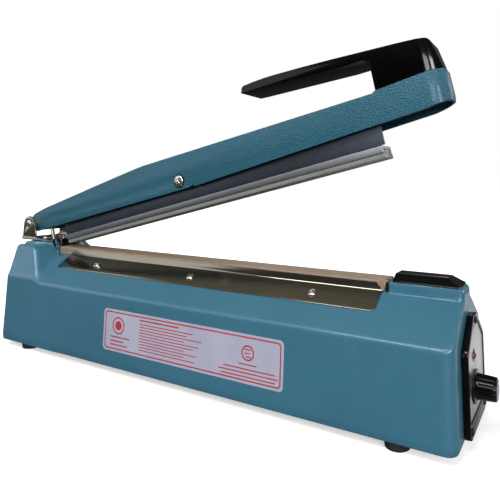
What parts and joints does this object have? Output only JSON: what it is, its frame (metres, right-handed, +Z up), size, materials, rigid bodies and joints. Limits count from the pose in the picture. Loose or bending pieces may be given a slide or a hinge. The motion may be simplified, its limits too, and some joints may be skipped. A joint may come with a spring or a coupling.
{
  "type": "impulse heat sealer",
  "caption": "Bench-top hand impulse heat sealer: long cast base with sloped shoulders, hinged lever arm with handle, rocking pressing jaw, heated seal line and end timer knob.",
  "frame": {"origin": "centre of the footprint, on the table under the feet", "axes": "+X along the machine towards the end with the timer knob, +Y to the rear, +Z up"},
  "size_m": [0.4266, 0.0852, 0.2338],
  "materials": {
    "body_paint": "blue hammertone",
    "chrome": "bright plated",
    "steel": "zinc plated",
    "aluminium": "extruded",
    "jaw_dark": "dark satin",
    "brass": "plain",
    "black_gloss": "glossy",
    "black_matte": "satin",
    "rubber": "matte",
    "silicone": "translucent grey",
    "cloth": "woven, coated",
    "strip": "woven glass fibre",
    "label": "satin print",
    "lamp": "clear lens",
    "board": "laminate",
    "winding": "taped",
    "lamination": "varnished",
    "grey_plate": "satin"
  },
  "bodies": {
    "base": {"base_housing": "body_paint", "bottom_plate": "steel", "bottom_plate_screws": "steel", "rubber_feet": "rubber", "foot_screws": "steel", "platform_bar": "aluminium", "insulating_strip": "strip", "heating_wire": "steel", "ptfe_cloth": "cloth", "front_cover_plate": "chrome", "rear_cover_plate": "chrome", "cover_plate_screws": "chrome", "hinge_terminal": "black_matte", "panel_terminal": "black_matte", "wire_clamp_screws": "steel", "top_cap": "black_gloss", "hinge_bracket": "chrome", "hinge_gasket": "rubber", "hinge_bracket_screws": "steel", "hinge_pin": "chrome", "control_frame": "black_gloss", "control_plate": "grey_plate", "control_screws": "steel", "indicator_lamp": "lamp", "timer_board": "board", "board_components": "black_matte", "board_pillars": "steel", "timer_pot": "steel", "transformer_core": "lamination", "transformer_coil": "winding", "transformer_screws": "steel", "switch_body": "black_matte", "switch_bracket": "steel", "spring_seat": "steel", "cord_grommet": "rubber", "front_label": "label", "return_spring": "steel"},
    "arm": {"arm_shell": "body_paint", "arm_bushes": "brass", "handle": "black_gloss", "handle_screws": "steel", "jaw_pin": "chrome", "jaw_pin_nut": "steel", "lift_pin": "steel"},
    "jaw": {"jaw_channel": "jaw_dark", "jaw_rail": "aluminium", "silicone_strip": "silicone"},
    "rod": {"push_rod": "chrome", "rod_collar": "steel"},
    "plunger": {"switch_plunger": "black_matte"},
    "knob": {"timer_knob": "black_gloss", "knob_cap": "grey_plate", "knob_shaft": "steel"}
  },
  "joints": [
    {"name": "arm_hinge", "type": "hinge", "parent": "base", "child": "arm", "pos_m": [-0.20146, 0, 0.1062], "axis": [0, 1, 0], "range_deg": [0, 11.45], "stiffness_Nm_per_rad": 3, "springref_deg": -57.3},
    {"name": "jaw_rock", "type": "hinge", "parent": "arm", "child": "jaw", "pos_m": [-0.01961, 0, 0.14677], "axis": [0, 1, 0], "range_deg": [0, 2.2]},
    {"name": "push_rod_slide", "type": "slide", "parent": "base", "child": "rod", "axis": [0, 0, -1], "range_m": [0, 0.0041], "deforming": ["return_spring"]},
    {"name": "switch_plunger_slide", "type": "slide", "parent": "base", "child": "plunger", "axis": [0, 0, -1], "range_m": [0, 0.00105], "stiffness_N_per_m": 200, "springref_m": -0.002},
    {"name": "timer_knob_turn", "type": "hinge", "parent": "base", "child": "knob", "pos_m": [0.20104, -0.007, 0.031], "axis": [1, 0, 0], "range_deg": [-135, 135]}
  ],
  "couplings": [
    {"joint": "jaw_rock", "follows": "arm_hinge", "ratio": 0.17904},
    {"joint": "push_rod_slide", "follows": "arm_hinge", "m_per_rad": 0.019627},
    {"joint": "switch_plunger_slide", "follows": "arm_hinge", "m_per_rad": 0.005004}
  ]
}
